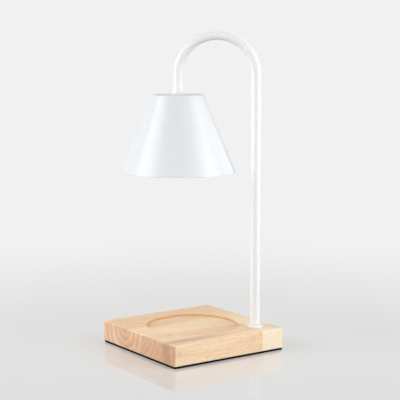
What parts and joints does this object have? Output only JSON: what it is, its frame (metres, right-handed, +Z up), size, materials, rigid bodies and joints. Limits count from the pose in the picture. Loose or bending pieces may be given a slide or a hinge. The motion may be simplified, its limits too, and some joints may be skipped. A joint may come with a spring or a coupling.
{
  "type": "candle warmer lamp",
  "caption": "Candle warmer lamp: square wooden base with a round recess, bent white tube, white cone shade and downward reflector bulb.",
  "frame": {"origin": "centre of the base's square footprint, on the underside of the foam pad, where the lamp stands on a table", "axes": "+Z is up; +X and +Y run along the base's sides; the tube stands in the +X -Y corner and reaches over the base towards -X +Y; the cable leaves on +X"},
  "size_m": [0.1539, 0.1519, 0.362],
  "materials": {
    "wood": "satin lacquered rubberwood",
    "foam": "matt",
    "white_paint": "satin powder coat",
    "white_plastic": "moulded",
    "nylon": "moulded",
    "steel": "zinc plated",
    "spring_steel": "blackened",
    "brass": "turned",
    "fibre": "pressed fibre",
    "ceramic": "unglazed steatite",
    "pin_metal": "nickel plated",
    "reflector_glass": "dichroic coated glass",
    "clear_glass": "clear",
    "lead_cover": "silicone insulation"
  },
  "bodies": {
    "base": {"wood_base": "wood", "foam_pad": "foam", "wiring_cover": "steel", "cover_screws": "steel", "cable_gland": "white_plastic", "terminal_block": "nylon", "terminal_inserts": "brass", "terminal_screws": "steel", "base_leads": "lead_cover", "foot_flange": "white_paint", "swivel_washer": "nylon", "post_bush": "nylon", "stop_pin": "steel"},
    "arm": {"arm_tube": "white_paint", "foot_spigot": "steel", "stop_washer": "steel", "foot_washer": "steel", "foot_spring_washer": "spring_steel", "foot_nut": "steel", "arm_leads": "lead_cover", "head_spigot": "steel", "shade_collar": "white_paint", "shade": "white_paint", "shade_gasket": "fibre", "holder_bracket": "steel", "head_lock_washer": "spring_steel", "head_nut": "steel", "holder_front": "ceramic", "holder_back": "ceramic", "holder_contacts": "brass", "holder_screws": "steel"},
    "bulb": {"bulb_base": "ceramic", "bulb_pins": "pin_metal", "bulb_reflector": "reflector_glass", "bulb_front_glass": "clear_glass", "bulb_capsule": "clear_glass"}
  },
  "joints": [
    {"name": "arm_swivel", "type": "hinge", "parent": "base", "child": "arm", "pos_m": [0.0515, -0.0515, 0.0255], "axis": [0, 0, 1], "range_deg": [-90, 90]},
    {"name": "bulb_twist", "type": "hinge", "parent": "arm", "child": "bulb", "pos_m": [-0.01143, 0.01143, 0.257], "axis": [0, 0, -1], "range_deg": [0, 40]}
  ]
}
